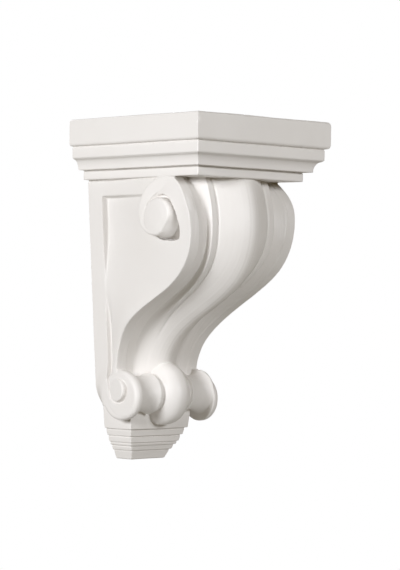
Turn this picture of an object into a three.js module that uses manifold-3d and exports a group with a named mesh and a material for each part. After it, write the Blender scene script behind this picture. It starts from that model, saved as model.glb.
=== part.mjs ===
// Moulded corbel, one casting: a square moulded cap, a scrolled bracket with a swelling
// front, a turned bolster at its foot and a stepped drop below.
// Millimetres. X runs along the wall, the wall is the plane Y = 0, the front faces -Y, +Z is up.
// The origin is on the flat back, half way up. Depths are counted down from the top of the cap,
// reaches are counted out from the wall.

import * as THREE from 'three';
import { mergeVertices } from 'three/addons/utils/BufferGeometryUtils.js';
import Module from 'manifold-3d';

// Overall size
const height = 305;
const capWidth = 164;
const capReach = 166;

// Cap members from the top down: slab, fillet, cove and neck
const slabHeight = 23.8;
const filletHeight = 10.8;
const coveHeight = 10.1;
const neckHeight = 8.5;
const filletInset = 3.6;
const coveInset = 5.4;
const coveFootInset = 10.8;
const neckInset = 17.1;
const softEdge = 1.8;
const coveStart = 0.08;
const coveEnd = 0.98;

// Side curve of the bracket: a round shoulder, a crest and one sweep back to the foot
const shoulderRadius = 49;
const crestReach = 139.8;
const crestDepth = 94.5;
const crestHandle = 73.9;
const footReach = 30.5;
const footDepth = 230.5;
const footHandle = 78.3;

// Half widths of the bracket's side: drawn in under the cap, level down to the scroll's eye, then
// tapering to the foot, with a slight flare where the sweep turns down
const bracketCapHalf = 64.6;
const bracketTopHalf = 66.6;
const tuckDepth = 72;
const bracketFootHalf = 48.6;
const taperDepth = 78;
const flareDepth = 174;
const flareSpan = 30;
const flareOut = 3.4;

// Wall plate: a raised strip up each side and a band under the cap around a sunk panel
const plateTopHalf = 59.4;
const plateFootHalf = 47;
const plateFootDepth = 236;
const plateEndHalf = 37.5;
const plateEndDepth = 256;
const plateEndPower = 1.6;
const stripWidth = 17.5;
const bandHeight = 14.2;
const panelSink = 5.3;
const sinkFadeStart = 100;
const sinkFadeEnd = 150;
const stepRun = 2.4;
const sideRise = 0.9;

// Front carving across the bracket: border, cove, flat fillet, middle swell
const borderWidth = 11;
const coveSink = 6;
const coveEndSink = 2.2;
const valleyShare = 0.88;
const valleyEndShare = 0.5;
const fallPower = 1.5;
const climbPower = 1.6;
const flatWidth = 8;
const flatFootShare = 0.4;
const flatLift = 4;
const middleRadius = 91;
const liftStart = 140;
const liftEnd = 200;
const fadeAbove = 8;
const fadeBelow = 6;
const swellTopHalf = 30;
const swellFootHalf = 14.4;
const swellRatio = 0.43;
const swellFootRatio = 0.66;
const swellStart = 0.86;
const quirk = 1.2;
const mergeStart = 150;
const mergeEnd = 200;

// Scroll on each side of the bracket
const scrollReach = 105.2;
const scrollDepth = 88.4;
const scrollBase = 64.5;
const scrollLow = 58;
const scrollRise = 7.5;
const riseStart = 0.3 * Math.PI;
const riseEnd = 1.25 * Math.PI;
const scrollFrontRadius = 33.8;
const scrollRadius = 36;
const scrollEndRadius = 14.6;
const scrollLead = 0.2 * Math.PI;
const scrollTop = 0.42 * Math.PI;
const scrollEnd = 1.62 * Math.PI;
const scrollSteps = 26;
const channelStart = -0.5 * Math.PI;
const channelRise = 0.42 * Math.PI;
const channelEnd = 0.92 * Math.PI;
const channelRadius = 20;
const channelFloor = 60.5;
const channelLip = 0.25;
const channelNarrow = 2.9;
const narrowTurn = 0.15 * Math.PI;
const narrowSpan = 0.35 * Math.PI;
const pocketTurn = -0.245 * Math.PI;
const pocketSpan = 0.22 * Math.PI;
const pocketOut = 6.8;
const eyeReach = 104.4;
const eyeDepth = 88.2;
const eyeRadius = 16.4;
const eyeFlare = 0.8;
const eyeFace = 72.1;
const eyeRound = 2.6;
const eyeDome = 0.7;
const eyeSegments = 28;

// Turned bolster across the foot
const bolsterReach = 38.4;
const bolsterDepth = 246.2;
const discRadius = 21.2;
const discInner = 43;
const discFace = 50.4;
const discRound = 4.4;
const discLip = 0.8;
const neckShare = 0.4;
const neckRadius = 14.2;
const rootRadius = 16.6;
const rootPower = 2.2;
const bellPower = 2.4;
const rimRadius = 19.6;
const rimAlong = 20;
const collarRadius = 17.6;
const ballReach = 39.6;
const ballDepth = 244.7;
const ballRadius = 28.4;
const ballHalf = 17.6;
const ballPower = 2.7;
const bolsterSegments = 32;
const voluteReach = 34.6;
const voluteDepth = 245.6;
const voluteRadius = 22.4;
const voluteFace = 50.2;
const voluteRound = 3.4;
const flushRadius = 36;
const buttonReach = 33.6;
const buttonDepth = 241;
const buttonRadius = 10;
const buttonFace = 52.8;
const buttonRound = 1;
const buttonSegments = 20;

// Drop below the bolster, stepping in on its three open sides
const dropHalf = 38.6;
const dropReach = 38.4;
const dropTopDepth = 246;
const ledgeFall = 0.4;
const dropSteps = [
  { inset: 3, depth: 276.9, below: 5.3 },
  { inset: 6.2, depth: 283.2, below: 7.9 },
  { inset: 8.7, depth: 289.1, below: 10.3 },
  { inset: 10.7, depth: 292.1, below: 12.7 },
  { inset: 13.5, depth: 296.5, below: 15.5 },
  { inset: 17.6, depth: 303.2, below: 19.4 },
];

const capHeight = slabHeight + filletHeight + coveHeight + neckHeight;
const bandFoot = capHeight + bandHeight;
const mix = THREE.MathUtils.lerp;
const ease = THREE.MathUtils.smoothstep;
const sweep = new THREE.CubicBezierCurve(
  new THREE.Vector2(crestReach, crestDepth),
  new THREE.Vector2(crestReach, crestDepth + crestHandle),
  new THREE.Vector2(footReach, footDepth - footHandle),
  new THREE.Vector2(footReach, footDepth),
);

const wasm = await Module();
wasm.setup();

function place(across, reach, depth) {
  return new THREE.Vector3(across, -reach, height / 2 - depth);
}

function spread(from, to, count) {
  return Array.from({ length: count + 1 }, (_, i) => mix(from, to, i / count));
}

// A closed surface from rings of equal length, each end closed by a fan round its middle
function loft(rings) {
  const size = rings[0].length;
  const index = [];
  for (let ring = 0; ring < rings.length - 1; ring += 1) {
    for (let i = 0; i < size; i += 1) {
      const a = ring * size + i;
      const b = ring * size + ((i + 1) % size);
      index.push(a, b, b + size, a, b + size, a + size);
    }
  }
  const ends = [rings[0], rings.at(-1)].map((ring) => {
    const middle = new THREE.Vector3();
    ring.forEach((point) => middle.addScaledVector(point, 1 / size));
    return middle;
  });
  const first = rings.length * size;
  const last = first - size;
  for (let i = 0; i < size; i += 1) {
    const next = (i + 1) % size;
    index.push(first, next, i, first + 1, last + i, last + next);
  }
  const geometry = new THREE.BufferGeometry().setFromPoints([...rings.flat(), ...ends]);
  geometry.setIndex(index);
  return geometry;
}

// Six times the volume that a mesh encloses, negative where its faces point inwards
function signedVolume(position, index) {
  const corner = [0, 1, 2].map(() => new THREE.Vector3());
  let total = 0;
  for (let i = 0; i < index.count; i += 3) {
    corner.forEach((point, k) => point.fromBufferAttribute(position, index.getX(i + k)));
    total += corner[0].dot(corner[1].cross(corner[2]));
  }
  return total;
}

function solid(geometry) {
  geometry.deleteAttribute('normal');
  geometry.deleteAttribute('uv');
  const merged = mergeVertices(geometry, 1e-4);
  const { position } = merged.attributes;
  const triVerts = Uint32Array.from(merged.index.array);
  if (signedVolume(position, merged.index) < 0) {
    triVerts.reverse();
  }
  const vertProperties = Float32Array.from(position.array);
  return new wasm.Manifold(new wasm.Mesh({ numProp: 3, vertProperties, triVerts }));
}

// A block against the wall whose three open sides follow one profile of inset and depth
function mitredBlock(half, reach, profile) {
  const rings = profile.map(({ inset, depth }) => [
    place(-half + inset, 0, depth),
    place(-half + inset, reach - inset, depth),
    place(half - inset, reach - inset, depth),
    place(half - inset, 0, depth),
  ]);
  return solid(loft(rings));
}

function cap() {
  const filletTop = slabHeight;
  const coveTop = filletTop + filletHeight;
  const neckTop = coveTop + coveHeight;
  const profile = [
    { inset: softEdge, depth: 0 },
    { inset: 0, depth: softEdge },
    { inset: 0, depth: slabHeight - softEdge },
    { inset: softEdge, depth: slabHeight },
    { inset: filletInset, depth: filletTop },
    { inset: filletInset, depth: coveTop - softEdge / 2 },
    { inset: coveInset, depth: coveTop },
  ];
  for (const turn of spread(0, Math.PI / 2, 4)) {
    profile.push({
      inset: mix(coveInset, coveFootInset, Math.sin(turn)),
      depth: coveTop + coveHeight * mix(coveStart, coveEnd, 1 - Math.cos(turn)),
    });
  }
  profile.push(
    { inset: coveFootInset, depth: neckTop },
    { inset: neckInset, depth: neckTop },
    { inset: neckInset, depth: capHeight - softEdge },
    { inset: neckInset + softEdge, depth: capHeight },
  );
  return mitredBlock(capWidth / 2, capReach, profile);
}

function drop() {
  const profile = [{ inset: 0, depth: dropTopDepth }];
  for (const { inset, depth, below } of dropSteps) {
    profile.push({ inset, depth });
    profile.push({ inset: below, depth: depth + ledgeFall });
  }
  profile.at(-1).depth = height;
  return mitredBlock(dropHalf, dropReach, profile);
}

function reachAt(depth) {
  if (depth < crestDepth) {
    const rise = crestDepth - depth;
    return crestReach - shoulderRadius + Math.sqrt(shoulderRadius ** 2 - rise ** 2);
  }
  if (depth > footDepth) {
    return footReach;
  }
  let low = 0;
  let high = 1;
  for (let i = 0; i < 40; i += 1) {
    const middle = (low + high) / 2;
    if (sweep.getPoint(middle).y < depth) {
      low = middle;
    } else {
      high = middle;
    }
  }
  return sweep.getPoint(low).x;
}

// Above the crest the middle of the front stands up straighter than its borders
function middleReachAt(depth) {
  if (depth < crestDepth) {
    const rise = crestDepth - depth;
    return crestReach - middleRadius + Math.sqrt(middleRadius ** 2 - rise ** 2);
  }
  return reachAt(depth);
}

// How much further out a point goes, level, for each millimetre along a curve's normal
function levelRatio(curve, depth) {
  return Math.hypot(1, curve(depth + 0.5) - curve(depth - 0.5));
}

function bracketHalf(depth) {
  const fall = THREE.MathUtils.clamp((depth - taperDepth) / (footDepth - taperDepth), 0, 1);
  const near = Math.max(0, 1 - Math.abs(depth - flareDepth) / flareSpan);
  const tuck = (bracketTopHalf - bracketCapHalf) * (1 - ease(depth, capHeight, tuckDepth));
  return mix(bracketTopHalf, bracketFootHalf, fall) + flareOut * ease(near, 0, 1) - tuck;
}

function plateHalf(depth) {
  if (depth < plateFootDepth) {
    return mix(plateTopHalf, plateFootHalf, (depth - capHeight) / (plateFootDepth - capHeight));
  }
  const fall = Math.min(1, (depth - plateFootDepth) / (plateEndDepth - plateFootDepth));
  return mix(plateFootHalf, plateEndHalf, fall ** plateEndPower);
}

// Half of the front carving from the arris to the middle, as distance across and level relief.
// The cove falls from the border to a valley, then climbs to the flat beside the swell.
// Towards the foot the flat melts into the swell.
function frontCarving(depth) {
  const half = depth < footDepth ? bracketHalf(depth) : Math.min(bracketFootHalf, plateHalf(depth));
  const fade = 1 - ease(depth, footDepth - fadeAbove, footDepth + fadeBelow);
  const level = levelRatio(reachAt, depth) * fade;
  const down = ease(depth, crestDepth, ballDepth - ballRadius);
  const up = Math.max(0, (crestDepth - depth) / (crestDepth - capHeight));
  const foot = ease(depth, liftStart, liftEnd);
  const end = Math.max(up, foot);
  const sink = mix(coveSink, coveEndSink, end) * level;
  const lift = flatLift * foot * level + middleReachAt(depth) - reachAt(depth);
  const valley = mix(valleyShare, valleyEndShare, end);
  const swell = mix(swellTopHalf, swellFootHalf, down);
  const flat = swell + flatWidth * mix(1, flatFootShare, down);
  const edge = half - borderWidth;
  const points = [{ across: half, relief: 0 }];
  for (const t of spread(0, 1, 3)) {
    points.push({ across: mix(edge, flat, valley * t), relief: -sink * t ** fallPower });
  }
  for (const t of spread(0, 1, 2).slice(1)) {
    points.push({ across: mix(edge, flat, mix(valley, 1, t)), relief: mix(-sink, lift, t ** climbPower) });
  }
  const crown = swell * mix(swellRatio, swellFootRatio, down);
  const radius = (swell ** 2 + crown ** 2) / (2 * crown);
  const stand = levelRatio(middleReachAt, depth) * fade;
  const merge = ease(depth, mergeStart, mergeEnd);
  const merged = (across) => crown * (1 - (across / flat) ** 2);
  points.push({ across: swell, relief: lift + mix(-quirk, merged(swell) * stand, merge) });
  for (const t of spread(swellStart, 0, 5)) {
    const across = swell * t;
    const rise = Math.sqrt(radius ** 2 - across ** 2) - radius + crown;
    points.push({ across, relief: lift + mix(rise, merged(across), merge) * stand });
  }
  return points;
}

// One level cut through the bracket and the wall plate
function bracketRing(depth) {
  const reach = reachAt(depth);
  const plate = plateHalf(depth);
  const fade = 1 - ease(depth, sinkFadeStart, sinkFadeEnd);
  const sunk = panelSink * ease(depth, bandFoot, bandFoot + stepRun) * fade;
  const panelStart = stripWidth + stepRun;
  const carving = frontCarving(depth);
  const half = carving[0].across;
  const flush = (across, out) => {
    const away = Math.hypot(out - voluteReach, depth - voluteDepth);
    const near = 1 - ease(away, voluteRadius, flushRadius);
    return place(mix(across, Math.max(across, voluteFace), near), out, depth);
  };
  const side = spread(0, stripWidth, 2).map((out) => flush(plate, out));
  for (const t of spread(0, 1, 5).slice(0, -1)) {
    side.push(flush(mix(plate - sunk, half, ease(t, 0, sideRise)), mix(panelStart, reach, t)));
  }
  const front = carving.map(({ across, relief }) => place(across, reach + relief, depth));
  const right = [...side, ...front];
  const left = right.slice(0, -1).reverse().map(({ x, y, z }) => new THREE.Vector3(-x, y, z));
  return [...right, ...left];
}

function bracket() {
  const depths = [
    capHeight - neckHeight / 2,
    ...spread(capHeight, bandFoot, 4),
    ...spread(bandFoot + stepRun, crestDepth, 5),
    ...spread(crestDepth, footDepth, 28).slice(1),
    ...spread(footDepth, plateEndDepth, 7).slice(1),
  ];
  const rings = depths.map(bracketRing);
  return solid(loft(rings));
}

// A band wound round the scroll's centre, turning from the front over the top to the wall
function scrollBand(side, { from, to, inner, outer, low, high }) {
  const rings = spread(from, to, scrollSteps).map((turn) => {
    const at = (radius, out) => place(
      side * out,
      scrollReach + radius * Math.cos(turn),
      scrollDepth - radius * Math.sin(turn),
    );
    return [
      at(inner, low(turn)),
      at(outer(turn), low(turn)),
      at(outer(turn), high(turn)),
      at(inner, high(turn)),
    ];
  });
  return solid(loft(rings));
}

// A turned piece with its axis along X, from a profile of radius and distance along the axis
function turned(profile, segments, reach, depth, toward) {
  const points = profile.map(([radius, along]) => new THREE.Vector2(radius, along));
  const geometry = new THREE.LatheGeometry(points, segments);
  geometry.rotateZ(-toward * Math.PI / 2);
  const { x, y, z } = place(0, reach, depth);
  geometry.translate(x, y, z);
  return solid(geometry);
}

function scrollCrown(turn) {
  return scrollBase + scrollRise * ease(turn, riseStart, riseEnd);
}

function scrollRamp(side) {
  const lead = (turn) => mix(scrollFrontRadius, scrollRadius, ease(turn, scrollLead, scrollTop));
  const wind = (turn) => ease(turn, scrollTop, scrollEnd);
  return scrollBand(side, {
    from: 0,
    to: scrollEnd,
    inner: eyeRadius / 2,
    outer: (turn) => mix(lead(turn), scrollEndRadius, wind(turn)),
    low: () => scrollLow,
    high: scrollCrown,
  });
}

// The channel round the eye is narrow in front, opens into a corner below and climbs out above
function scrollChannel(side) {
  const climb = (turn) => ease(turn, channelRise, channelEnd);
  const near = (turn, middle, span) => Math.max(0, 1 - Math.abs(turn - middle) / span);
  const narrow = (turn) => channelNarrow * ease(near(turn, narrowTurn, narrowSpan), 0, 1);
  const corner = (turn) => pocketOut * near(turn, pocketTurn, pocketSpan);
  return scrollBand(side, {
    from: channelStart,
    to: channelEnd,
    inner: eyeRadius / 2,
    outer: (turn) => channelRadius + corner(turn) - narrow(turn),
    low: (turn) => mix(channelFloor, scrollCrown(turn) - channelLip, climb(turn)),
    high: () => eyeFace + eyeFlare,
  });
}

// Quarter round from the side of a turned piece to its face
function rounded(radius, face, round) {
  return spread(0, Math.PI / 2, 3).map((turn) => [
    radius - round * (1 - Math.cos(turn)),
    face - round * (1 - Math.sin(turn)),
  ]);
}

function scrollEye(side) {
  const profile = [
    [0, channelFloor - panelSink],
    [eyeRadius + eyeFlare, channelFloor - panelSink],
    [eyeRadius + eyeFlare, channelFloor],
    ...rounded(eyeRadius, eyeFace, eyeRound),
    [0, eyeFace + eyeDome],
  ];
  return turned(profile, eyeSegments, eyeReach, eyeDepth, side);
}

function bolster() {
  const half = [
    [0, discFace],
    ...rounded(discRadius, discFace, discRound).reverse(),
    [discRadius, discInner + discLip],
    [discRadius - discLip, discInner],
  ];
  for (const t of spread(0, 1, 8)) {
    const toDisc = Math.max(0, 1 - t / neckShare) ** rootPower;
    const toRim = Math.max(0, (t - neckShare) / (1 - neckShare)) ** bellPower;
    const radius = neckRadius + (rootRadius - neckRadius) * toDisc + (rimRadius - neckRadius) * toRim;
    half.push([radius, mix(discInner, rimAlong, t)]);
  }
  half.push([rimRadius, rimAlong - discLip]);
  half.push([collarRadius, rimAlong - discLip * 2]);
  const rest = half.map(([radius, along]) => [radius, -along]).reverse();
  return turned([...half, ...rest], bolsterSegments, bolsterReach, bolsterDepth, 1);
}

function ball() {
  const profile = spread(0, Math.PI, 20).map((turn) => {
    const along = ballHalf * Math.abs(Math.cos(turn)) ** (2 / ballPower);
    return [ballRadius * Math.sin(turn), Math.sign(Math.cos(turn)) * along];
  });
  return turned(profile, bolsterSegments, ballReach, ballDepth, 1);
}

// The strip winds into the disc on the wall side
function volute(side) {
  const profile = [
    [0, discInner],
    [voluteRadius, discInner],
    ...rounded(voluteRadius, voluteFace, voluteRound),
    [0, voluteFace],
  ];
  return turned(profile, bolsterSegments, voluteReach, voluteDepth, side);
}

function button(side) {
  const profile = [
    [0, discInner],
    [buttonRadius, discInner],
    ...rounded(buttonRadius, buttonFace, buttonRound),
    [0, buttonFace],
  ];
  return turned(profile, buttonSegments, buttonReach, buttonDepth, side);
}

function casting() {
  let body = bracket().add(cap());
  for (const side of [-1, 1]) {
    body = body.add(scrollRamp(side)).subtract(scrollChannel(side)).add(scrollEye(side));
  }
  body = body.add(drop()).add(bolster()).add(ball());
  for (const side of [-1, 1]) {
    body = body.add(volute(side)).add(button(side));
  }
  return body;
}

const { numProp, vertProperties, triVerts } = casting().getMesh();
const points = new Float32Array(vertProperties.length / numProp * 3);
points.forEach((_, i) => {
  points[i] = vertProperties[Math.floor(i / 3) * numProp + (i % 3)];
});
const geometry = new THREE.BufferGeometry();
geometry.setAttribute('position', new THREE.BufferAttribute(points, 3));
geometry.setIndex(new THREE.BufferAttribute(triVerts, 1));
geometry.computeVertexNormals();

const primed = new THREE.MeshStandardMaterial({ color: 0xe9e6e0, roughness: 0.6, metalness: 0 });
const corbel = new THREE.Mesh(geometry, primed);
corbel.name = 'corbel';

const group = new THREE.Group();
group.add(corbel);

export default group;
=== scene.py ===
import math

import bpy
from mathutils import Matrix, Vector


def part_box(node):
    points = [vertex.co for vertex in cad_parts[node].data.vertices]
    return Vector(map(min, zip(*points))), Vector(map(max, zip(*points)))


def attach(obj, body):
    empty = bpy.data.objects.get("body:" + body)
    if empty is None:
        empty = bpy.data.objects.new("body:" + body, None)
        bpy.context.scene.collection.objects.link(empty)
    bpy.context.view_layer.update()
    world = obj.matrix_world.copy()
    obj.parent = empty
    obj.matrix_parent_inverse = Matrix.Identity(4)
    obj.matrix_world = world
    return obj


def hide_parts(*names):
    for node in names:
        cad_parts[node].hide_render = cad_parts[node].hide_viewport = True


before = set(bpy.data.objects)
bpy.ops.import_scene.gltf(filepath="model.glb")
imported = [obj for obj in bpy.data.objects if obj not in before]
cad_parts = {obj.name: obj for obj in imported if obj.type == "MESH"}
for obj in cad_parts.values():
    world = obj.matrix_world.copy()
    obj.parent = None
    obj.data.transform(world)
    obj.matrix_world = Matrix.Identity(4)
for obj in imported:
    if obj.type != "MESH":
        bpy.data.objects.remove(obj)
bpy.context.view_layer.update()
lowCorner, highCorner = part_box("corbel")
print("frame loaded")

# Pieces are sized in millimetres: across from the middle, reach out from the wall, depth down from the top
mm = 0.001
weld = 0.02 * mm  # corners closer than this become one
capHalf = highCorner.x / mm
capReach = -lowCorner.y / mm
wholeHeight = (highCorner.z - lowCorner.z) / mm


def spot(across, reach, depth):
    return Vector((across * mm, -reach * mm, highCorner.z - depth * mm))


def lerp(a, b, t):
    return a + (b - a) * t


def ease(value, start, end):
    t = min(1, max(0, (value - start) / (end - start)))
    return t * t * (3 - 2 * t)


def nearness(value, middle, span):  # 1 at the middle, 0 from a span away
    return max(0, 1 - abs(value - middle) / span)


def steps(start, end, count):
    return [lerp(start, end, i / count) for i in range(count + 1)]


# Small modelling helpers
def cleanSlate():
    if bpy.context.object and bpy.context.object.mode != "OBJECT":
        bpy.ops.object.mode_set(mode="OBJECT")
    bpy.ops.object.select_all(action="DESELECT")


def editAll():
    bpy.ops.object.mode_set(mode="EDIT")
    bpy.ops.mesh.select_all(action="SELECT")


def closeUp():  # weld, fill open ends, point faces outwards, leave edit mode
    bpy.ops.mesh.select_all(action="SELECT")
    bpy.ops.mesh.remove_doubles(threshold=weld)
    bpy.ops.mesh.select_all(action="SELECT")
    bpy.ops.mesh.fill_holes(sides=0)
    bpy.ops.mesh.select_all(action="SELECT")
    bpy.ops.mesh.normals_make_consistent(inside=False)
    bpy.ops.object.mode_set(mode="OBJECT")
    bpy.ops.object.transform_apply(location=True, rotation=True, scale=True)
    return bpy.context.object


def finishWith(piece, kind, **settings):
    bpy.context.view_layer.objects.active = piece
    modifier = piece.modifiers.new(kind.title(), kind)
    for key, value in settings.items():
        setattr(modifier, key, value)
    bpy.ops.object.modifier_apply(modifier=modifier.name)


def shapedGrid(name, columns, rows, place):  # a tube of rings: place(column, row) gives each vertex
    cleanSlate()
    bpy.ops.mesh.primitive_grid_add(x_subdivisions=columns, y_subdivisions=rows, size=1)
    tube = bpy.context.object
    tube.name = name
    corners = [place(column, row) for row in range(rows + 1) for column in range(columns + 1)]
    tube.data.vertices.foreach_set("co", [value for corner in corners for value in corner])
    editAll()
    return closeUp()


def mitredBlock(name, half, reach, profile):  # profile of (inset, depth), mitred at the two front corners
    cleanSlate()
    inset, depth = profile[0]
    level = spot(0, 0, depth)
    bpy.ops.mesh.primitive_plane_add(size=1, location=level + Vector((0, -0.5, 0)))
    block = bpy.context.object
    block.name = name
    editAll()
    size = ((half - inset) * 2 * mm, (reach - inset) * mm, 1)
    bpy.ops.transform.resize(value=size, center_override=level)
    for nextInset, nextDepth in profile[1:]:
        drop = (0, 0, (depth - nextDepth) * mm)
        bpy.ops.mesh.extrude_region_move(TRANSFORM_OT_translate={"value": drop})
        size = ((half - nextInset) / (half - inset), (reach - nextInset) / (reach - inset), 1)
        bpy.ops.transform.resize(value=size, center_override=spot(0, 0, nextDepth))
        inset, depth = nextInset, nextDepth
    return closeUp()


def turnedPiece(name, profile, reach, depth, segments):  # profile of (radius, along the axis)
    cleanSlate()
    radius, along = profile[0]
    bpy.ops.mesh.primitive_plane_add(size=mm, location=spot(along, reach, depth - radius))
    piece = bpy.context.object
    piece.name = name
    editAll()
    bpy.ops.mesh.merge(type="CENTER")
    for nextRadius, nextAlong in profile[1:]:
        move = ((nextAlong - along) * mm, 0, (nextRadius - radius) * mm)
        bpy.ops.mesh.extrude_vertices_move(TRANSFORM_OT_translate={"value": move})
        radius, along = nextRadius, nextAlong
    bpy.ops.mesh.select_all(action="SELECT")
    bpy.ops.mesh.spin(steps=segments, angle=math.tau, center=spot(0, reach, depth), axis=(1, 0, 0))
    return closeUp()


def roundOver(centreA, centreB, radius, start, end, count):  # points of a small arc
    return [
        (centreA + radius * math.cos(turn), centreB + radius * math.sin(turn))
        for turn in steps(start, end, count)
    ]


def lowerEdge(inset, foot, soft, count):  # rounded lower edge of a member that ends at this depth
    return [(inset + soft - a, foot - soft + b) for a, b in roundOver(0, 0, soft, 0, math.pi / 2, count)]


# Cap: slab, fillet, cove and neck, mitred round three sides
cap = {
    "slab": 23.8, "fillet": 10.8, "cove": 10.1, "neck": 8.5,
    "filletInset": 3.6, "coveInset": 5.4, "coveFootInset": 10.8, "neckInset": 17.1,
    "slabRound": 2.4, "edgeRound": 0.9, "neckRound": 0.9, "coveShare": (0.08, 0.98),
    "quirk": 0.9, "quirkClose": 1.35,
}
capFoot = cap["slab"] + cap["fillet"] + cap["cove"] + cap["neck"]


def quirkUnder(inset, depth):  # a fine groove at the top of a member
    sunk = inset + cap["quirk"]
    return [(sunk, depth), (sunk, depth + cap["quirk"]), (inset, depth + cap["quirkClose"])]


def makeCap():
    coveTop = cap["slab"] + cap["fillet"]
    neckTop = coveTop + cap["cove"]
    soft = cap["slabRound"]
    profile = [(soft - a, soft + b) for a, b in roundOver(0, 0, soft, math.pi * 1.5, math.tau, 4)]
    profile += lowerEdge(0, cap["slab"], soft, 4) + quirkUnder(cap["filletInset"], cap["slab"])
    profile += lowerEdge(cap["filletInset"], coveTop, cap["edgeRound"], 3)
    for turn in steps(0, math.pi / 2, 8):
        inset = lerp(cap["coveInset"], cap["coveFootInset"], math.sin(turn))
        profile.append((inset, coveTop + cap["cove"] * lerp(*cap["coveShare"], 1 - math.cos(turn))))
    profile += [(cap["coveFootInset"], neckTop)] + quirkUnder(cap["neckInset"], neckTop)
    profile += lowerEdge(cap["neckInset"], capFoot, cap["neckRound"], 4)
    return mitredBlock("cap", capHalf, capReach, profile)


# Bracket: side curve, wall plate, sunk side panels and the carved front
sideCurve = {
    "crest": (139.8, 94.5), "shoulder": 49, "middleShoulder": 91, "crestHandle": 73.9,
    "foot": (30.5, 230.5), "footHandle": 78.3, "topDepth": 47.6, "endDepth": 256,
    "shoulderRows": 60, "sweepRows": 200, "footRows": 30,
}
plate = {
    "topHalf": 59.4, "footHalf": 47, "footDepth": 236, "endHalf": 37.5, "endPower": 1.6,
    "strip": 17.5, "band": 14.2, "bandSlope": 2.4, "sink": 5.3, "stepRun": 2.2, "sideRise": 0.9,
    "stripColumns": 6, "stepColumns": 3, "sideColumns": 70,
    "sinkFadeFrom": 92, "sinkFadeTo": 160,
    "groove": 3.8, "grooveFrom": (148, 192), "grooveTo": (221, 238), "grooveRun": 7,
    "neckQuirk": 1.6, "neckQuirkEnds": (capFoot + 0.6, capFoot + 2),
}
bracketSide = {
    "capHalf": 64.6, "topHalf": 66.6, "tuckTo": 72, "footHalf": 48.6, "taperFrom": 78,
    "flareDepth": 174, "flareSpan": 30, "flareOut": 3.4,
}
carving = {
    "border": 11, "borderStep": 0.6, "stepRun": 0.9, "arrisRound": 0.5,
    "sink": 5.5, "endSink": 2.2, "valley": 0.88, "endValley": 0.5, "fallPower": 1.5, "climbPower": 1.6,
    "flat": 8, "flatFootShare": 0.4, "lift": 4, "liftFrom": 140, "liftTo": 200,
    "swellTop": 30, "swellFoot": 14.4, "swellRatio": 0.46, "ridgeSoft": 0.55, "footRatio": 0.66,
    "quirk": 0.9, "quirkWidth": 2.1, "quirkInner": 0.5, "mergeFrom": 150, "mergeTo": 200,
    "streak": 0.07, "streakWave": 4.6, "streakRatio": 1.7, "streakShift": 2, "streakFade": 2,
    "fadeAbove": 8, "fadeBelow": 6, "ballTop": 215.6,
    "borderColumns": 9, "coveColumns": 22, "flatColumns": 7, "swellColumns": 30,
}
bandFoot = capFoot + plate["band"]


def curvePoints():  # the side curve from inside the cap down to the foot, as (reach, depth)
    crestReach, crestDepth = sideCurve["crest"]
    footReach, footDepth = sideCurve["foot"]
    radius = sideCurve["shoulder"]
    first = math.asin((crestDepth - sideCurve["topDepth"]) / radius)
    points = [
        (crestReach - radius + radius * math.cos(turn), crestDepth - radius * math.sin(turn))
        for turn in steps(first, 0, sideCurve["shoulderRows"])
    ]
    handles = [
        (crestReach, crestDepth),
        (crestReach, crestDepth + sideCurve["crestHandle"]),
        (footReach, footDepth - sideCurve["footHandle"]),
        (footReach, footDepth),
    ]
    for t in steps(0, 1, sideCurve["sweepRows"])[1:]:
        weights = [(1 - t) ** 3, 3 * t * (1 - t) ** 2, 3 * t * t * (1 - t), t ** 3]
        points.append(tuple(
            sum(w * handle[axis] for w, handle in zip(weights, handles)) for axis in (0, 1)
        ))
    for depth in steps(footDepth, sideCurve["endDepth"], sideCurve["footRows"])[1:]:
        points.append((footReach, depth))
    return points


def plateHalf(depth):
    if depth < plate["footDepth"]:
        share = (depth - capFoot) / (plate["footDepth"] - capFoot)
        return lerp(plate["topHalf"], plate["footHalf"], share)
    fall = (depth - plate["footDepth"]) / (sideCurve["endDepth"] - plate["footDepth"])
    return lerp(plate["footHalf"], plate["endHalf"], min(1, fall) ** plate["endPower"])


def bracketHalf(depth):
    footDepth = sideCurve["foot"][1]
    fall = (depth - bracketSide["taperFrom"]) / (footDepth - bracketSide["taperFrom"])
    near = nearness(depth, bracketSide["flareDepth"], bracketSide["flareSpan"])
    half = lerp(bracketSide["topHalf"], bracketSide["footHalf"], min(1, max(0, fall)))
    half += bracketSide["flareOut"] * ease(near, 0, 1)
    tuck = bracketSide["topHalf"] - bracketSide["capHalf"]
    half -= tuck * (1 - ease(depth, capFoot, bracketSide["tuckTo"]))
    return half if depth < footDepth else min(bracketSide["footHalf"], plateHalf(depth))


def sideAcross(reach, depth, arrisReach, half):  # how far the side stands from the middle
    strip = plateHalf(depth)
    sunk = ease(depth, bandFoot, bandFoot + plate["bandSlope"])
    sunk *= 1 - ease(depth, plate["sinkFadeFrom"], plate["sinkFadeTo"])
    floor = strip - plate["sink"] * sunk
    panelFrom = plate["strip"] + plate["stepRun"]
    if reach < panelFrom:
        across = lerp(strip, floor, ease(reach, plate["strip"], panelFrom))
    else:
        t = (reach - panelFrom) / (arrisReach - panelFrom)
        across = lerp(floor, half, ease(t, 0, plate["sideRise"]))
    away = math.hypot(reach - bolster["volute"][0], depth - bolster["volute"][1])
    flush = 1 - ease(away, bolster["voluteRadius"] - bolster["flushInside"], bolster["flushRadius"])
    level = bolster["voluteFace"] - bolster["flushShy"]
    across = lerp(across, max(across, level), flush)  # the strip runs into the disc
    groove = plate["groove"] * ease(depth, *plate["grooveFrom"]) * (1 - ease(depth, *plate["grooveTo"]))
    rise = 1 - ease(reach, panelFrom, panelFrom + plate["grooveRun"])
    groove *= ease(reach, plate["strip"], panelFrom) * rise
    return across - groove - plate["neckQuirk"] * (1 - ease(depth, *plate["neckQuirkEnds"]))


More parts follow.
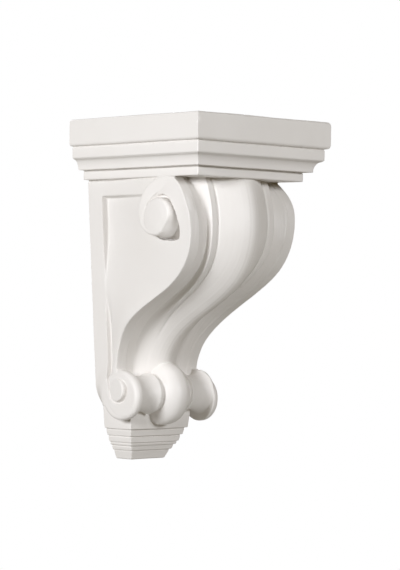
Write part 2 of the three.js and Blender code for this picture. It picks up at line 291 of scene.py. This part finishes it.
def levelCut(depth):  # the carving's breaks at one level
    crestDepth, footDepth = sideCurve["crest"][1], sideCurve["foot"][1]
    fade = 1 - ease(depth, footDepth - carving["fadeAbove"], footDepth + carving["fadeBelow"])
    down = ease(depth, crestDepth, carving["ballTop"])
    foot = ease(depth, carving["liftFrom"], carving["liftTo"])
    end = max(foot, (crestDepth - depth) / (crestDepth - capFoot))
    half = bracketHalf(depth)
    swell = lerp(carving["swellTop"], carving["swellFoot"], down)
    crown = swell * lerp(carving["swellRatio"], carving["footRatio"], down)
    return {
        "half": half, "swell": swell, "crown": crown, "fade": fade,
        "edge": half - carving["border"],
        "flat": swell + carving["flat"] * lerp(1, carving["flatFootShare"], down),
        "sink": lerp(carving["sink"], carving["endSink"], min(1, end)),
        "valley": lerp(carving["valley"], carving["endValley"], min(1, end)),
        "lift": carving["lift"] * foot, "merge": ease(depth, carving["mergeFrom"], carving["mergeTo"]),
    }


def carvedRelief(across, cut):  # height off the side curve, and how far the middle's own curve holds
    if across >= cut["edge"]:
        shy = max(0, carving["arrisRound"] - (cut["half"] - across))
        return -shy ** 2 / (2 * carving["arrisRound"]), 0
    step = carving["borderStep"] * ease(cut["edge"] - across, 0, carving["stepRun"])
    t = (cut["edge"] - across) / (cut["edge"] - cut["flat"])
    if t < cut["valley"]:
        return lerp(-step, -cut["sink"], (t / cut["valley"]) ** carving["fallPower"]), 0
    if t < 1:
        climb = ((t - cut["valley"]) / (1 - cut["valley"])) ** carving["climbPower"]
        return lerp(-cut["sink"], cut["lift"], climb), climb
    quirk = carving["quirk"] * (1 - cut["merge"])
    height = 0
    if across < cut["swell"]:
        soft, share = carving["ridgeSoft"], across / cut["swell"]
        height = cut["crown"] * (1 - (math.hypot(share, soft) - soft) / (math.hypot(1, soft) - soft))
    run = carving["quirkWidth"] * (1 if across >= cut["swell"] else carving["quirkInner"])
    notch = quirk * (1 - ease(abs(across - cut["swell"]), 0, run))
    merged = cut["crown"] * (1 - (across / cut["flat"]) ** 2)  # at the foot the flat melts into the swell
    return cut["lift"] + lerp(height, merged, cut["merge"]) - notch, 1


def streaks(across):  # faint lengthwise tool marks of the pattern
    wave = across * math.tau / carving["streakWave"]
    cross = wave * carving["streakRatio"] + carving["streakShift"]
    return carving["streak"] * (math.sin(wave) + math.sin(cross)) / 2


def bracketRing(point, normal):
    arrisReach, depth = point
    crestReach, crestDepth = sideCurve["crest"]
    cut = levelCut(depth)
    panelFrom = plate["strip"] + plate["stepRun"]
    stops = steps(0, plate["strip"], plate["stripColumns"])[:-1]
    stops += steps(plate["strip"], panelFrom, plate["stepColumns"])[:-1]
    stops += steps(panelFrom, arrisReach, plate["sideColumns"])[:-1]
    ring = [spot(sideAcross(reach, depth, arrisReach, cut["half"]), reach, depth) for reach in stops]
    middle = arrisReach
    if depth < crestDepth:
        radius = sideCurve["middleShoulder"]
        middle = crestReach - radius + math.sqrt(radius ** 2 - (crestDepth - depth) ** 2)
    upright = math.hypot(1, (crestDepth - depth) / sideCurve["middleShoulder"])
    acrosses = steps(cut["half"], cut["edge"], carving["borderColumns"])[:-1]
    acrosses += steps(cut["edge"], cut["flat"], carving["coveColumns"])[:-1]
    acrosses += steps(cut["flat"], cut["swell"], carving["flatColumns"])[:-1]
    acrosses += steps(cut["swell"], 0, carving["swellColumns"])
    for across in acrosses:
        relief, own = carvedRelief(across, cut)
        clear = min(1, (cut["half"] - across) / carving["streakFade"])
        relief = (relief + streaks(across) * clear) * cut["fade"]
        out, down = normal
        if depth < crestDepth:  # the middle's curve turns over less than the border's
            out = lerp(out, 1 / upright, own)
            down = lerp(down, -(crestDepth - depth) / sideCurve["middleShoulder"] / upright, own)
        base = lerp(arrisReach, middle, own)
        ring.append(spot(across, base + relief * out, depth + relief * down))
    mirrored = [Vector((-corner.x, corner.y, corner.z)) for corner in reversed(ring[:-1])]
    return ring + mirrored + ring[:1]


def makeBracket():
    points = curvePoints()
    rings = []
    for i, point in enumerate(points):
        before, after = points[max(0, i - 1)], points[min(len(points) - 1, i + 1)]
        along = math.hypot(after[0] - before[0], after[1] - before[1])
        normal = ((after[1] - before[1]) / along, (before[0] - after[0]) / along)
        rings.append(bracketRing(point, normal))
    bracket = shapedGrid("bracket", len(rings[0]) - 1, len(rings) - 1, lambda c, r: rings[r][c])
    for side in (-1, 1):
        cutter = makeChannelCutter(side)
        cleanSlate()
        finishWith(bracket, "BOOLEAN", operation="DIFFERENCE", object=cutter, solver="MANIFOLD")
        bpy.data.objects.remove(cutter)
    return bracket


# Scroll: a hollow in each side of the bracket, a band that winds round it and the eye in the middle
scroll = {
    "reach": 105.2, "depth": 88.4, "base": 64.5, "rise": 7.5,
    "riseFrom": 0.3 * math.pi, "riseTo": 1.25 * math.pi,
    "frontRadius": 33.8, "topRadius": 36, "endRadius": 14.6,
    "leadTurn": 0.2 * math.pi, "topTurn": 0.42 * math.pi, "endTurn": 1.62 * math.pi,
    "bandWidth": 4, "edgeRound": 2, "innerRound": 0.8, "low": 58, "turns": 110,
    "channelRadius": 20, "channelNarrow": 2.9, "narrowTurn": 0.15 * math.pi, "narrowSpan": 0.35 * math.pi,
    "channelFloor": 60.5, "channelRiseFrom": 0.42 * math.pi, "channelRiseTo": 0.92 * math.pi,
    "channelLip": 0.25, "channelFall": 0.3, "channelLap": 1, "cutAbove": 5, "cutInside": 2,
    "pocketDeep": 9, "deepTurn": -0.36 * math.pi, "deepSpan": 0.36 * math.pi, "deepShoulder": 0.6,
    "mouthTurn": 0.5 * math.pi, "mouthSpan": 0.36 * math.pi,
    "mouthOut": 2.4, "mouthIn": 3, "mouthFall": 3.2, "toeDrop": 0.1,
    "pocketTurn": -0.245 * math.pi, "pocketSpan": 0.22 * math.pi, "pocketOut": 6.8, "pocketPower": 1.3,
}
scrollEye = {
    "reach": 104.4, "depth": 88.2, "radius": 16.4, "flare": 0.6, "spread": 3.2, "rootBelow": 4,
    "face": 72.1, "round": 2.2, "dome": 0.8, "domeShare": 0.75,
    "dent": 3.2, "dentTurn": -0.22 * math.pi, "dentSpan": 0.34 * math.pi, "turns": 96,
}


def channelEdge(turn):  # narrow in front of the eye, opening into a sharp corner below it
    corner = nearness(turn, scroll["pocketTurn"], scroll["pocketSpan"]) ** scroll["pocketPower"]
    narrow = ease(nearness(turn, scroll["narrowTurn"], scroll["narrowSpan"]), 0, 1)
    return scroll["channelRadius"] + scroll["pocketOut"] * corner - scroll["channelNarrow"] * narrow


def makeChannelCutter(side):  # the hollow that the eye stands in, deepest below the eye
    turns = steps(-math.pi, math.pi, 2 * scroll["turns"])

    def place(column, row):
        edge, eyeRadius = channelEdge(turns[column]), scrollEye["radius"]
        deep = scroll["channelFloor"] - scroll["channelFall"] * max(0, edge - eyeRadius)
        near = nearness(turns[column], scroll["deepTurn"], scroll["deepSpan"])
        deep -= scroll["pocketDeep"] * ease(near, 0, scroll["deepShoulder"])
        above = scrollEye["face"] + scroll["cutAbove"]
        rows = [(0, above), (edge, above), (edge, deep), (eyeRadius - scroll["cutInside"], deep), (0, deep)]
        radius, across = rows[row]
        reach = scroll["reach"] + radius * math.cos(turns[column])
        return spot(side * across, reach, scroll["depth"] - radius * math.sin(turns[column]))

    return shapedGrid("channelCutter", len(turns) - 1, 4, place)


def scrollOuter(turn):
    lead = ease(turn, scroll["leadTurn"], scroll["topTurn"])
    wind = ease(turn, scroll["topTurn"], scroll["endTurn"])
    return lerp(lerp(scroll["frontRadius"], scroll["topRadius"], lead), scroll["endRadius"], wind)


def scrollCrown(turn):
    return scroll["base"] + scroll["rise"] * ease(turn, scroll["riseFrom"], scroll["riseTo"])


def woundBand(name, side, start, section):  # section(turn) gives (radius, across) round the band
    def ring(turn):
        corners = section(turn)
        return [
            spot(
                side * across,
                scroll["reach"] + radius * math.cos(turn),
                scroll["depth"] - radius * math.sin(turn),
            )
            for radius, across in corners + corners[:1]
        ]

    rings = [ring(turn) for turn in steps(start, scroll["endTurn"], scroll["turns"])]
    return shapedGrid(name, len(rings[0]) - 1, len(rings) - 1, lambda c, r: rings[r][c])


def makeScrollBand(side):  # above the eye the band slopes into the channel
    soft, slim = scroll["edgeRound"], scroll["innerRound"]

    def section(turn):
        outer, crown = scrollOuter(turn), scrollCrown(turn)
        inner = min(channelEdge(turn), outer - scroll["bandWidth"])
        corners = [(inner, scroll["low"]), ((inner + outer) / 2, scroll["low"]), (outer, scroll["low"])]
        corners += roundOver(outer - soft, crown - soft, soft, 0, math.pi / 2, 4)
        mouth = ease(nearness(turn, scroll["mouthTurn"], scroll["mouthSpan"]), 0, 1)
        rim = inner + mouth * scroll["mouthOut"]
        corners += roundOver(rim + slim, crown - slim, slim, math.pi / 2, math.pi, 4)
        toe = crown - slim - scroll["toeDrop"] - mouth * scroll["mouthFall"]
        return corners + [(inner - mouth * scroll["mouthIn"], toe)]

    return woundBand("scrollBand", side, 0, section)


def makeChannelFloor(side):  # the channel climbs to the band on the wall side
    inner, lap = scrollEye["radius"] / 2, scroll["channelLap"]
    low = scroll["low"] - lap

    def section(turn):
        outer = min(channelEdge(turn) + lap, scrollOuter(turn) - lap)
        climb = ease(turn, scroll["channelRiseFrom"], scroll["channelRiseTo"])
        level = lerp(scroll["channelFloor"], scrollCrown(turn) - scroll["channelLip"], climb)
        return [(inner, low), (outer, low), (outer, level), ((inner + outer) / 2, level), (inner, level)]

    return woundBand("channelFloor", side, scroll["channelRiseFrom"], section)


def makeScrollEye(side):  # a knob whose wall leans back at the lower front
    soft, face, dome = scrollEye["round"], scrollEye["face"], scrollEye["dome"]

    def section(turn):
        dent = scrollEye["dent"] * ease(nearness(turn, scrollEye["dentTurn"], scrollEye["dentSpan"]), 0, 1)
        spread = scrollEye["spread"] * ease(nearness(turn, scroll["deepTurn"], scroll["deepSpan"]), 0, 1)
        radius, foot = scrollEye["radius"] - dent, scrollEye["radius"] + scrollEye["flare"]
        root = scroll["channelFloor"] - scroll["pocketDeep"] - scrollEye["rootBelow"]
        profile = [(foot + spread, root), (foot + spread / 2, scroll["channelFloor"])]
        profile += roundOver(radius - soft, face - soft, soft, 0, math.pi / 2, 5)
        return profile + [(radius / 2, face + dome * scrollEye["domeShare"]), (0, face + dome)]

    turns = steps(-math.pi, math.pi, scrollEye["turns"])
    sections = [section(turn) for turn in turns]

    def place(column, row):
        radius, across = sections[column][row]
        reach = scrollEye["reach"] + radius * math.cos(turns[column])
        return spot(side * across, reach, scrollEye["depth"] - radius * math.sin(turns[column]))

    return shapedGrid("scrollEye", len(turns) - 1, len(sections[0]) - 1, place)


# Bolster: discs, bells and a ball across the foot
bolster = {
    "reach": 38.4, "depth": 246.2, "discRadius": 21.2, "discFace": 50.4, "discInner": 43,
    "discRound": 4.4, "discLip": 0.8, "flushRadius": 36, "flushInside": 1, "flushShy": 0.1,
    "sag": 3.4, "lean": 1.6,  # the right-hand disc sits a little lower and further out in the casting
    "bell": (40.2, 244.4), "neckRadius": 15.6, "neckShare": 0.45, "rootRadius": 16.4, "farRootRadius": 20,
    "rootPower": 2.2, "bellPower": 2.4, "rimRadius": 18.4, "rimAlong": 20, "collarRadius": 16.4,
    "bellInside": 1, "bellRows": 30, "ballRows": 48,
    "ball": (39, 244.7), "ballRadius": 28.4, "ballHalf": 17.2, "ballPower": 2.6,
    "volute": (34.6, 245.6), "voluteRadius": 22.4, "voluteFace": 50.2, "voluteRound": 3.4,
    "button": (33.6, 241), "buttonRadius": 10, "buttonFace": 52.4, "buttonRound": 0.6, "buttonTilt": 8,
    "buttonDome": 0.3, "turns": 96, "voluteTurns": 72, "buttonTurns": 56,
}


def makeDisc(side):
    radius, face, soft, lip = (bolster[key] for key in ("discRadius", "discFace", "discRound", "discLip"))
    half = [(0, face)] + roundOver(radius - soft, face - soft, soft, math.pi / 2, 0, 6)
    half += roundOver(radius - lip, bolster["discInner"] + lip, lip, 0, -math.pi / 2, 3)
    half += [(0, bolster["discInner"])]
    turned = [(across, side * along) for across, along in half]
    right = max(0, side)
    reach, depth = bolster["reach"] + right * bolster["lean"], bolster["depth"] + right * bolster["sag"]
    return turnedPiece("disc", turned, reach, depth, bolster["turns"])


def bellHalf(rootRadius):  # from the disc through the neck to the rim at the ball
    lip, neckShare, neckRadius = bolster["discLip"], bolster["neckShare"], bolster["neckRadius"]
    start = bolster["discInner"] + bolster["bellInside"]
    rimRadius, rimAlong = bolster["rimRadius"], bolster["rimAlong"]
    half = [(0, start)]
    for t in steps(0, 1, bolster["bellRows"]):
        toDisc = max(0, 1 - t / neckShare) ** bolster["rootPower"]
        toBell = max(0, (t - neckShare) / (1 - neckShare)) ** bolster["bellPower"]
        radius = neckRadius + (rootRadius - neckRadius) * toDisc + (rimRadius - neckRadius) * toBell
        half.append((radius, lerp(start, rimAlong, t)))
    return half + [(rimRadius, rimAlong - lip), (bolster["collarRadius"], rimAlong - 2 * lip)]


def makeBells():
    nearHalf = [(radius, -along) for radius, along in bellHalf(bolster["rootRadius"])]
    profile = bellHalf(bolster["farRootRadius"]) + nearHalf[::-1]
    return turnedPiece("bells", profile, *bolster["bell"], bolster["turns"])


def makeBall():
    profile = []
    for turn in steps(0, math.pi, bolster["ballRows"]):
        along = bolster["ballHalf"] * abs(math.cos(turn)) ** (2 / bolster["ballPower"])
        profile.append((bolster["ballRadius"] * math.sin(turn), math.copysign(along, math.cos(turn))))
    return turnedPiece("ball", profile, *bolster["ball"], bolster["turns"])


def flatBoss(side, radius, face, soft, top):
    profile = [(0, bolster["discInner"]), (radius, bolster["discInner"])]
    profile += roundOver(radius - soft, face - soft, soft, 0, math.pi / 2, 4) + [(0, top)]
    return [(across, side * along) for across, along in profile]


def makeVolute(side):  # the strip winds into the disc on the wall side
    face = bolster["voluteFace"]
    profile = flatBoss(side, bolster["voluteRadius"], face, bolster["voluteRound"], face)
    return turnedPiece("volute", profile, *bolster["volute"], bolster["voluteTurns"])


def makeButton(side):
    face = bolster["buttonFace"]
    top = face + bolster["buttonDome"]
    profile = flatBoss(side, bolster["buttonRadius"], face, bolster["buttonRound"], top)
    button = turnedPiece("button", profile, *bolster["button"], bolster["buttonTurns"])
    editAll()  # the front side of the button stands proud, the wall side lies nearly flush
    bpy.ops.transform.rotate(
        value=math.radians(-side * bolster["buttonTilt"]), orient_axis="Z",
        center_override=spot(side * face, *bolster["button"]),
    )
    bpy.ops.object.mode_set(mode="OBJECT")
    return button


# Drop: stepped block under the bolster
dropBlock = {
    "half": 38.6, "reach": 38.4, "topDepth": 246,
    "quirk": 1, "quirkHeight": 1.3, "quirkShares": (0.2, 0.7),  # groove under each tier
    "tiers": [  # inset and depth of each lower edge, then the inset where the next tier starts
        (3, 276.9, 5.2), (6.5, 283.2, 7.9), (8.9, 289.1, 10.2), (10.9, 292.1, 12.5), (13.7, 296.5, 15.3),
    ],
    "lastTier": (17.6, 303.2),
}


def makeDrop():
    quirk, high = dropBlock["quirk"], dropBlock["quirkHeight"]
    profile = [(0, dropBlock["topDepth"])]
    for inset, depth, below in dropBlock["tiers"]:
        sunk = [(below + quirk, depth + high * share) for share in dropBlock["quirkShares"]]
        profile += [(inset, depth), *sunk, (below, depth + high)]
    inset, depth = dropBlock["lastTier"]
    profile += lowerEdge(inset, wholeHeight, wholeHeight - depth, 4)
    return mitredBlock("drop", dropBlock["half"], dropBlock["reach"], profile)


# One casting out of all the pieces
casting = {
    "voxel": 0.5, "smoothing": 1, "smoothFactor": 0.5, "faces": 190000, "waveSize": 55, "waveHeight": 0.9,
    "backDepth": 0.6, "backFacing": 0.99, "normalWeight": 50,
}
footGroove = {  # a line that runs down the strip and winds round the button
    "run": [(18.6, 214, 0), (18.7, 222, 1), (19.3, 230, 1)],  # reach, depth and share of the full depth
    "radius": 11.7, "turnFrom": 1.06 * math.pi, "turnTo": -0.42 * math.pi, "turnRows": 16,
    "faint": 0.45, "faintTurn": 0.72 * math.pi, "faintSpan": 0.4 * math.pi,
    "width": 1.8, "depth": 2.4, "acrossFrom": 44, "reachEnds": (14, 50), "depthEnds": (210, 260),
}


def groovePath():
    (reach, depth), radius = bolster["button"], footGroove["radius"]
    path = list(footGroove["run"])
    for turn in steps(footGroove["turnFrom"], footGroove["turnTo"], footGroove["turnRows"]):
        clear = ease(abs(turn - footGroove["faintTurn"]), 0, footGroove["faintSpan"])
        share = lerp(footGroove["faint"], 1, clear) * ease(turn, footGroove["turnTo"], 0)
        path.append((reach + radius * math.cos(turn), depth + radius * math.sin(turn), share))
    return path


def distanceToPath(point, path):  # how far off, and the groove's share there
    nearest, share = math.inf, 0
    for start, end in zip(path, path[1:]):
        run = (end[0] - start[0], end[1] - start[1])
        along = (point[0] - start[0]) * run[0] + (point[1] - start[1]) * run[1]
        t = min(1, max(0, along / (run[0] ** 2 + run[1] ** 2)))
        away = math.hypot(point[0] - start[0] - t * run[0], point[1] - start[1] - t * run[1])
        if away < nearest:
            nearest, share = away, lerp(start[2], end[2], t)
    return nearest, share


def pressFootGroove(whole):
    path = groovePath()
    (nearest, furthest), (top, foot) = footGroove["reachEnds"], footGroove["depthEnds"]
    groups = {side: whole.vertex_groups.new(name="footGroove") for side in (-1, 1)}
    for vertex in whole.data.vertices:
        across, reach, depth = vertex.co.x / mm, -vertex.co.y / mm, (highCorner.z - vertex.co.z) / mm
        inside = nearest < reach < furthest and top < depth < foot
        if abs(across) < footGroove["acrossFrom"] or not inside:
            continue
        away, share = distanceToPath((reach, depth), path)
        weight = (1 - ease(away, 0, footGroove["width"])) * share
        if weight > 0:
            groups[math.copysign(1, across)].add([vertex.index], weight, "REPLACE")
    for side, group in groups.items():
        finishWith(
            whole, "DISPLACE", vertex_group=group.name, direction="X", mid_level=0,
            strength=-side * footGroove["depth"] * mm,
        )


def flattenBack(whole):  # the wall face stays a plane
    editAll()
    bpy.ops.mesh.select_all(action="DESELECT")
    bpy.ops.object.mode_set(mode="OBJECT")
    for vertex in whole.data.vertices:
        vertex.select = vertex.co.y > -casting["backDepth"] * mm
    bpy.ops.object.mode_set(mode="EDIT")
    bpy.ops.transform.resize(value=(1, 0, 1), center_override=(0, 0, 0))
    bpy.ops.object.mode_set(mode="OBJECT")


def sharpenBack(whole):  # a clean edge where the sides meet the wall
    editAll()
    bpy.ops.mesh.select_all(action="DESELECT")
    bpy.ops.object.mode_set(mode="OBJECT")
    for face in whole.data.polygons:
        face.select = face.normal.y > casting["backFacing"]
    bpy.ops.object.mode_set(mode="EDIT")
    bpy.ops.mesh.select_mode(type="FACE")
    bpy.ops.mesh.region_to_loop()
    bpy.ops.mesh.mark_sharp()
    bpy.ops.mesh.select_mode(type="VERT")
    bpy.ops.object.mode_set(mode="OBJECT")


def makeCasting():
    pieces = [makeCap(), makeBracket(), makeBells(), makeBall(), makeDrop()]
    for side in (-1, 1):
        pieces += [makeScrollBand(side), makeChannelFloor(side), makeScrollEye(side)]
        pieces += [makeDisc(side), makeVolute(side), makeButton(side)]
    print("pieces modelled:", len(pieces))
    cleanSlate()
    for piece in pieces:
        piece.select_set(True)
    bpy.context.view_layer.objects.active = pieces[0]
    bpy.ops.object.join()
    whole = bpy.context.object
    whole.name = "corbelCasting"
    finishWith(whole, "REMESH", mode="VOXEL", voxel_size=casting["voxel"] * mm)
    print("fused:", len(whole.data.polygons), "faces")
    pressFootGroove(whole)
    finishWith(whole, "SMOOTH", factor=casting["smoothFactor"], iterations=casting["smoothing"])
    waves = bpy.data.textures.new("castWaves", "CLOUDS")
    waves.noise_scale = casting["waveSize"] * mm
    height = casting["waveHeight"] * mm
    finishWith(whole, "DISPLACE", texture=waves, strength=height, texture_coords="LOCAL")
    flattenBack(whole)
    share = casting["faces"] / (2 * len(whole.data.polygons))
    finishWith(whole, "DECIMATE", ratio=min(1, share), use_collapse_triangulate=True)
    print("thinned:", len(whole.data.polygons), "triangles")
    bpy.ops.object.shade_smooth()
    sharpenBack(whole)
    finishWith(whole, "WEIGHTED_NORMAL", keep_sharp=True, weight=casting["normalWeight"])
    return whole


corbel = makeCasting()
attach(corbel, "root")
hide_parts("corbel")


# Finish: white primed casting, matt with a faint skin
class Wire:
    def __init__(self, tree, socket=None):
        self.tree = tree
        self.socket = socket

    def node(self, kind, settings, **inputs):  # settings first, then socket values or links
        made = self.tree.nodes.new(kind)
        for key, value in settings.items():
            setattr(made, key, value)
        for key, value in inputs.items():
            self.feed(made.inputs[key.replace("_", " ")], value)
        return made

    def feed(self, socket, value):
        if isinstance(value, Wire):
            self.tree.links.new(value.socket, socket)
        else:
            socket.default_value = value

    def out(self, made, name):
        return Wire(self.tree, made.outputs[name])

    def maths(self, operation, first, second):
        made = self.node("ShaderNodeMath", {"operation": operation})
        self.feed(made.inputs[0], first)
        self.feed(made.inputs[1], second)
        return self.out(made, "Value")

    def __add__(self, other):
        return self.maths("ADD", self, other)

    def __radd__(self, other):
        return self.maths("ADD", other, self)

    def __sub__(self, other):
        return self.maths("SUBTRACT", self, other)

    def __mul__(self, other):
        return self.maths("MULTIPLY", self, other)


primer = {
    "white": (0.80, 0.775, 0.745, 1), "warm": (0.77, 0.74, 0.70, 1),
    "roughness": 0.52, "roughnessDrift": 0.1, "bump": 0.5,
    "cloud": (22, 3), "skin": (620, 2), "wave": (55, 1),  # scale and detail of each noise
    "skinHeight": 0.03, "waveHeight": 0.35,
}


def primedCasting():
    material = bpy.data.materials.new("primedCasting")
    material.use_nodes = True
    tree = material.node_tree
    tree.nodes.clear()
    wire = Wire(tree)
    place = wire.out(wire.node("ShaderNodeTexCoord", {}), "Object")

    def noise(scale, detail):
        made = wire.node("ShaderNodeTexNoise", {}, Vector=place, Scale=scale, Detail=detail)
        return wire.out(made, "Fac")

    cloud = noise(*primer["cloud"])
    tone = wire.node("ShaderNodeMix", {"data_type": "RGBA"}, Factor=cloud)
    wire.feed(tone.inputs[6], primer["white"])
    wire.feed(tone.inputs[7], primer["warm"])
    skin = noise(*primer["skin"]) * primer["skinHeight"]
    wave = noise(*primer["wave"]) * primer["waveHeight"]
    bump = wire.node("ShaderNodeBump", {}, Height=skin + wave, Strength=primer["bump"], Distance=mm)
    shader = wire.node(
        "ShaderNodeBsdfPrincipled", {},
        Base_Color=Wire(tree, tone.outputs[2]),
        Roughness=primer["roughness"] + (cloud - 0.5) * primer["roughnessDrift"],
        Normal=wire.out(bump, "Normal"),
    )
    wire.node("ShaderNodeOutputMaterial", {}, Surface=wire.out(shader, "BSDF"))
    return material


corbel.data.materials.clear()
corbel.data.materials.append(primedCasting())
print("material done")


# Camera, floor, world and lights
shot = {
    "place": (-1.37793, -1.52214, -0.00482), "heading": -43.808, "pitch": 90.318, "roll": 0.774,
    "lens": 141.03, "sensor": 36,
}


def makeCamera():
    cleanSlate()
    bpy.ops.object.camera_add()
    camera = bpy.context.object
    camera.matrix_world = (
        Matrix.Translation(shot["place"])
        @ Matrix.Rotation(math.radians(shot["heading"]), 4, "Z")
        @ Matrix.Rotation(math.radians(shot["pitch"]), 4, "X")
        @ Matrix.Rotation(math.radians(shot["roll"]), 4, "Z")
    )
    camera.data.lens = shot["lens"]
    camera.data.sensor_width = shot["sensor"]
    bpy.context.scene.camera = camera


floorPlan = {
    "radius": 1.4, "below": 1.3, "corners": 96, "colour": (0.82, 0.82, 0.81, 1), "roughness": 0.8,
}


def makeFloor():
    cleanSlate()
    bpy.ops.mesh.primitive_circle_add(
        vertices=floorPlan["corners"], radius=floorPlan["radius"], fill_type="NGON",
        location=(0, 0, lowCorner.z - floorPlan["below"]),
    )
    floor = bpy.context.object
    floor.name = "floor"
    pale = bpy.data.materials.new("paleFloor")
    pale.use_nodes = True
    shader = pale.node_tree.nodes["Principled BSDF"]
    shader.inputs["Base Color"].default_value = floorPlan["colour"]
    shader.inputs["Roughness"].default_value = floorPlan["roughness"]
    floor.data.materials.append(pale)


studio = {
    "ambient": (0.092, 0.07, 0.03), "backdrop": 1, "distance": 2.2, "size": 0.5, "tint": (0.93, 0.95, 1),
    "lights": {  # name: (degrees round from the front, degrees up, watts)
        "leftKey": (-77, 11, 40.2),
        "leftBack": (-112, 6, 8),
        "frontKey": (2, 15, 23.6),
        "rightFill": (135, 8, 22),
        "wallFill": (176, 35, 14),
    },
}


def makeStudio():
    world = bpy.data.worlds.new("studio")
    bpy.context.scene.world = world
    world.use_nodes = True
    tree = world.node_tree
    tree.nodes.clear()
    wire = Wire(tree)
    seen = wire.out(wire.node("ShaderNodeLightPath", {}), "Is Camera Ray")
    room = wire.node("ShaderNodeBackground", {}, Color=(*studio["ambient"], 1), Strength=1)
    paper = wire.node("ShaderNodeBackground", {}, Color=(1, 1, 1, 1), Strength=studio["backdrop"])
    mixed = wire.node("ShaderNodeMixShader", {}, Fac=seen)
    wire.feed(mixed.inputs[1], wire.out(room, "Background"))
    wire.feed(mixed.inputs[2], wire.out(paper, "Background"))
    wire.node("ShaderNodeOutputWorld", {}, Surface=wire.out(mixed, "Shader"))
    for name, (heading, up, watts) in studio["lights"].items():
        turn, lift = math.radians(heading), math.radians(up)
        level = math.cos(lift)
        toward = Vector((math.sin(turn) * level, -math.cos(turn) * level, math.sin(lift)))
        cleanSlate()
        bpy.ops.object.light_add(type="AREA", location=toward * studio["distance"])
        light = bpy.context.object
        light.name = name
        light.data.size = studio["size"]
        light.data.energy = watts
        light.data.color = studio["tint"]
        light.rotation_euler = (-toward).to_track_quat("-Z", "Y").to_euler()
    bpy.context.scene.view_settings.view_transform = "Standard"


makeCamera()
makeFloor()
makeStudio()
print("studio set")
